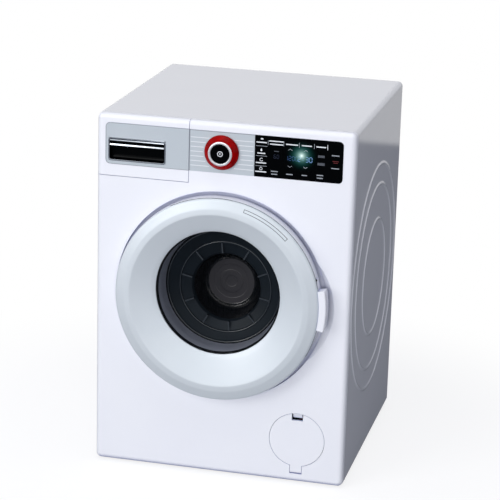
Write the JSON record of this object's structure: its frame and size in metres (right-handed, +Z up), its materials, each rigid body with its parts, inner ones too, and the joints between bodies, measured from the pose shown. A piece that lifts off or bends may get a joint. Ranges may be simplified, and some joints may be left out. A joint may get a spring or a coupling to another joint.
{
  "type": "toy washing machine",
  "caption": "Toy front-loading washing machine with a hinged round door, turning drum, sliding detergent drawer, control knob and service flap.",
  "frame": {"origin": "on the ground under the middle of the machine's outline", "axes": "+Z up, +X to the right seen from the front, the front faces -Y"},
  "size_m": [0.1862, 0.194, 0.2615],
  "materials": {
    "white_abs": "moulded, satin gloss",
    "silver_paint": "silver painted plastic, fine metallic",
    "chrome_plating": "polished vacuum-plated plastic",
    "smoked_plastic": "clear smoked moulding",
    "black_gloss": "polished",
    "dark_plastic": "moulded, matt",
    "red_clear": "translucent red moulding",
    "grey_rubber": "soft, matt",
    "steel": "zinc plated",
    "drum_grey": "silver grey moulding",
    "brass": "turned",
    "circuit_board": "lacquered board",
    "led_clear": "clear epoxy",
    "natural_nylon": "moulded, natural colour",
    "cell_jacket": "printed jacket, plain",
    "wire_cover": "flexible cover"
  },
  "bodies": {
    "cabinet": {"cabinet_shell": "white_abs", "front_panel": "white_abs", "rear_panel": "white_abs", "base_plate": "white_abs", "rubber_feet": "grey_rubber", "control_trim": "silver_paint", "display_lens": "black_gloss", "display_board": "circuit_board", "led_lamps": "led_clear", "knob_switch": "dark_plastic", "case_screws": "steel", "inner_screws": "steel", "hinge_bracket": "white_abs", "hinge_pin": "steel", "door_seal": "grey_rubber", "tub_shell": "white_abs", "tub_front": "white_abs", "drum_bearing": "brass", "gear_plate": "white_abs", "drive_motor": "steel", "drawer_housing": "white_abs", "fill_hose": "grey_rubber", "drain_hose": "grey_rubber", "service_cup": "dark_plastic", "battery_box": "white_abs", "battery_cells": "cell_jacket", "battery_contacts": "steel", "battery_door": "white_abs", "battery_door_screw": "steel", "speaker": "dark_plastic", "wiring": "wire_cover", "idler_axle": "steel", "button_spring": "steel"},
    "door": {"door_frame": "white_abs", "door_ring": "silver_paint", "door_glass": "smoked_plastic", "glass_clamp": "dark_plastic", "door_handle": "white_abs", "door_latch": "white_abs", "door_screws": "steel"},
    "drum": {"drum_shell": "drum_grey", "drum_back": "drum_grey", "drum_lifters": "white_abs", "drum_shaft": "steel", "drum_gear": "white_abs", "drum_screw": "steel"},
    "idler": {"idler_gear": "natural_nylon"},
    "motor_rotor": {"motor_pinion": "brass", "motor_shaft": "steel"},
    "drawer": {"drawer_front": "white_abs", "drawer_trim": "silver_paint", "drawer_grip_cup": "dark_plastic", "drawer_grip_bar": "chrome_plating", "drawer_tray": "white_abs"},
    "knob": {"knob_ring": "red_clear", "knob_bezel": "chrome_plating"},
    "button": {"power_button": "black_gloss"},
    "flap": {"service_flap": "white_abs"},
    "plug": {"drain_cap": "red_clear"}
  },
  "joints": [
    {"name": "door_hinge", "type": "hinge", "parent": "cabinet", "child": "door", "pos_m": [-0.071, -0.088, 0.1359], "axis": [0, 0, -1], "range_deg": [0, 95]},
    {"name": "drum_spin", "type": "hinge", "parent": "cabinet", "child": "drum", "pos_m": [-0.001, -0.023, 0.1359], "axis": [0, -1, 0], "continuous": true},
    {"name": "idler_spin", "type": "hinge", "parent": "cabinet", "child": "idler", "pos_m": [-0.001, 0.042, 0.1009], "axis": [0, -1, 0], "continuous": true},
    {"name": "motor_spin", "type": "hinge", "parent": "cabinet", "child": "motor_rotor", "pos_m": [-0.001, 0.047, 0.0753], "axis": [0, -1, 0], "continuous": true},
    {"name": "drawer_slide", "type": "slide", "parent": "cabinet", "child": "drawer", "axis": [0, -1, 0], "range_m": [0, 0.055]},
    {"name": "knob_turn", "type": "hinge", "parent": "cabinet", "child": "knob", "pos_m": [-0.002, -0.083, 0.2404], "axis": [0, -1, 0], "continuous": true},
    {"name": "button_press", "type": "slide", "parent": "cabinet", "child": "button", "axis": [0, 1, 0], "range_m": [0, 0.0012], "stiffness_N_per_m": 400, "springref_m": -0.0005},
    {"name": "flap_hinge", "type": "hinge", "parent": "cabinet", "child": "flap", "pos_m": [0.0582, -0.08145, 0.0097], "axis": [1, 0, 0], "range_deg": [0, 90]},
    {"name": "cap_turn", "type": "hinge", "parent": "cabinet", "child": "plug", "pos_m": [0.0582, -0.063, 0.0339], "axis": [0, -1, 0], "range_deg": [0, 90]}
  ],
  "couplings": [
    {"joint": "idler_spin", "follows": "drum_spin", "ratio": -4},
    {"joint": "motor_spin", "follows": "drum_spin", "ratio": 14.286}
  ]
}
